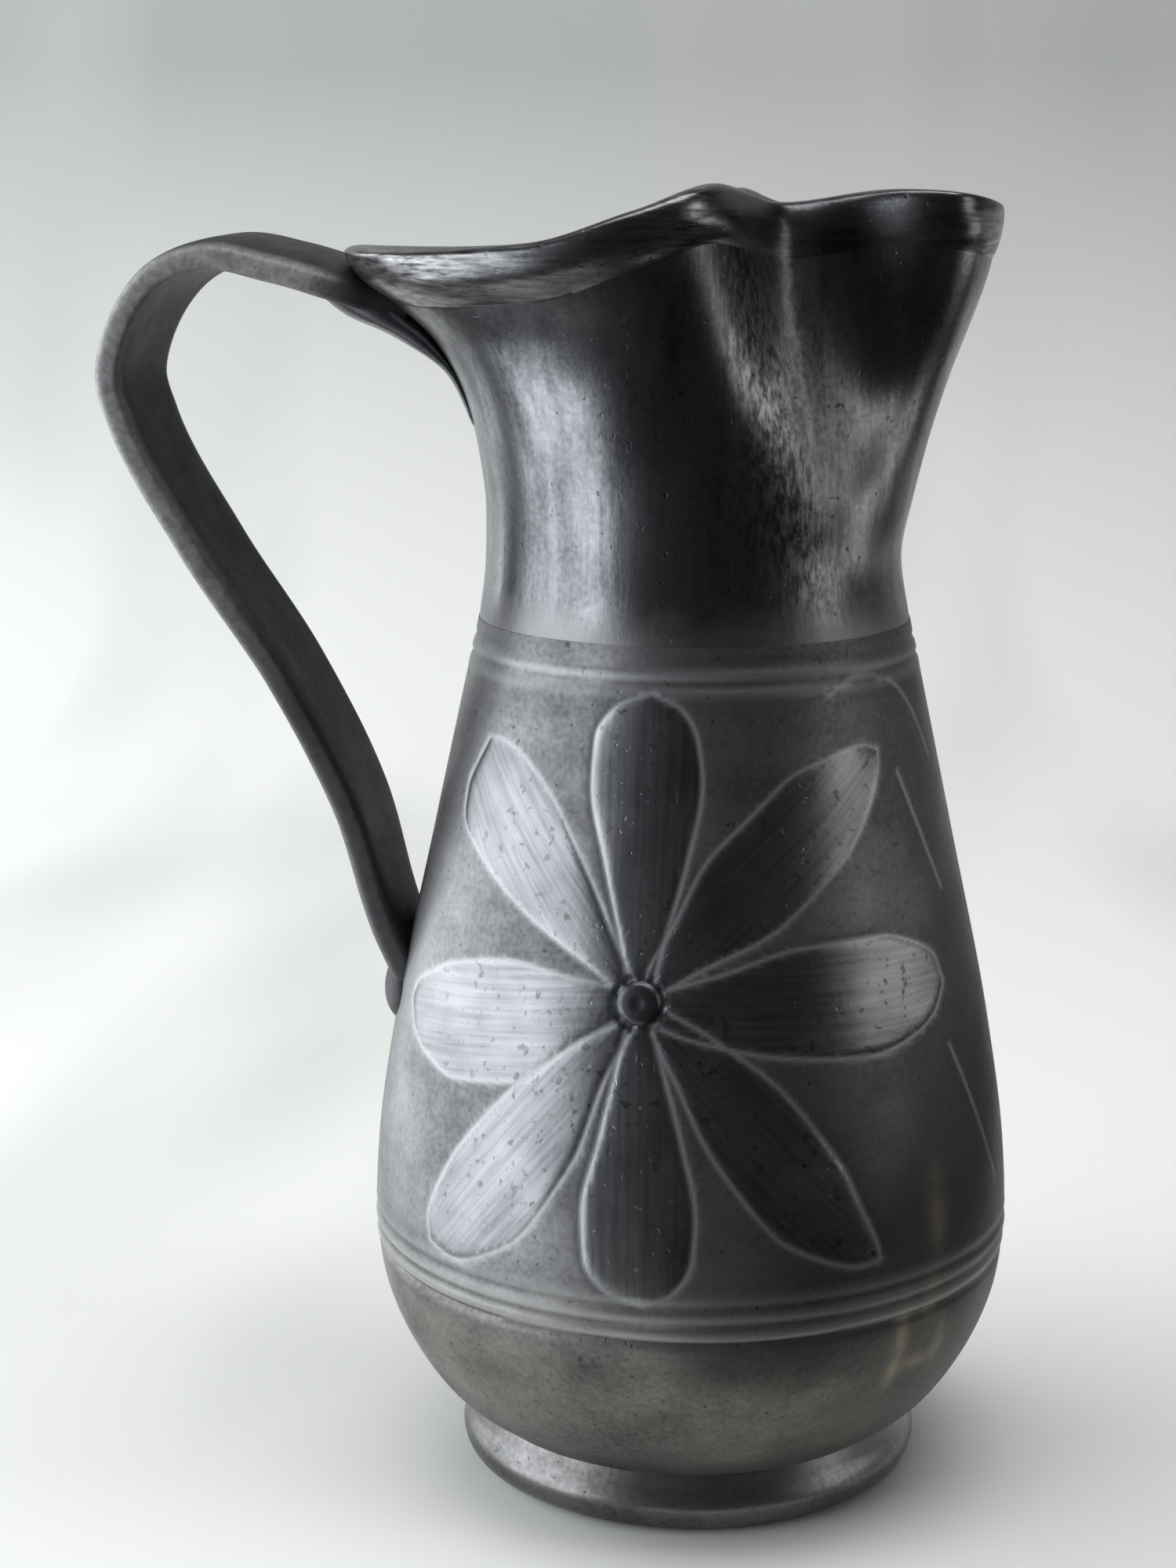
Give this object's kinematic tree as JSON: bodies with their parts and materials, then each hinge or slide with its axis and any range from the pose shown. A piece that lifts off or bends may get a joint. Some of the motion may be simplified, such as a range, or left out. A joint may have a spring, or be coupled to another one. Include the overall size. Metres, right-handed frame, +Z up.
{
  "type": "trefoil-mouthed pouring jug",
  "caption": "Smoke-blackened earthenware jug with a pinched pouring mouth, a strap handle, an incised rosette and a spreading foot.",
  "frame": {"origin": "centre of the foot on the standing plane", "axes": "+Z up along the axis of the belly, +X to the pouring lip, handle on the -X side"},
  "size_m": [0.182, 0.1302, 0.2598],
  "materials": {
    "smoked_clay_matte": "matte",
    "smoked_clay_belly": "satin",
    "smoked_clay_burnished": "satin",
    "smoked_clay_handle": "satin",
    "smoked_clay_polished": "satin"
  },
  "bodies": {
    "root": {"foot_ring": "smoked_clay_matte", "base_floor": "smoked_clay_matte", "belly_wall": "smoked_clay_belly", "neck_wall": "smoked_clay_burnished", "rim_band": "smoked_clay_burnished", "handle_strap": "smoked_clay_handle", "handle_root_upper": "smoked_clay_handle", "handle_root_lower": "smoked_clay_handle", "rosette_button_front": "smoked_clay_polished", "rosette_button_back": "smoked_clay_polished"}
  },
  "joints": []
}
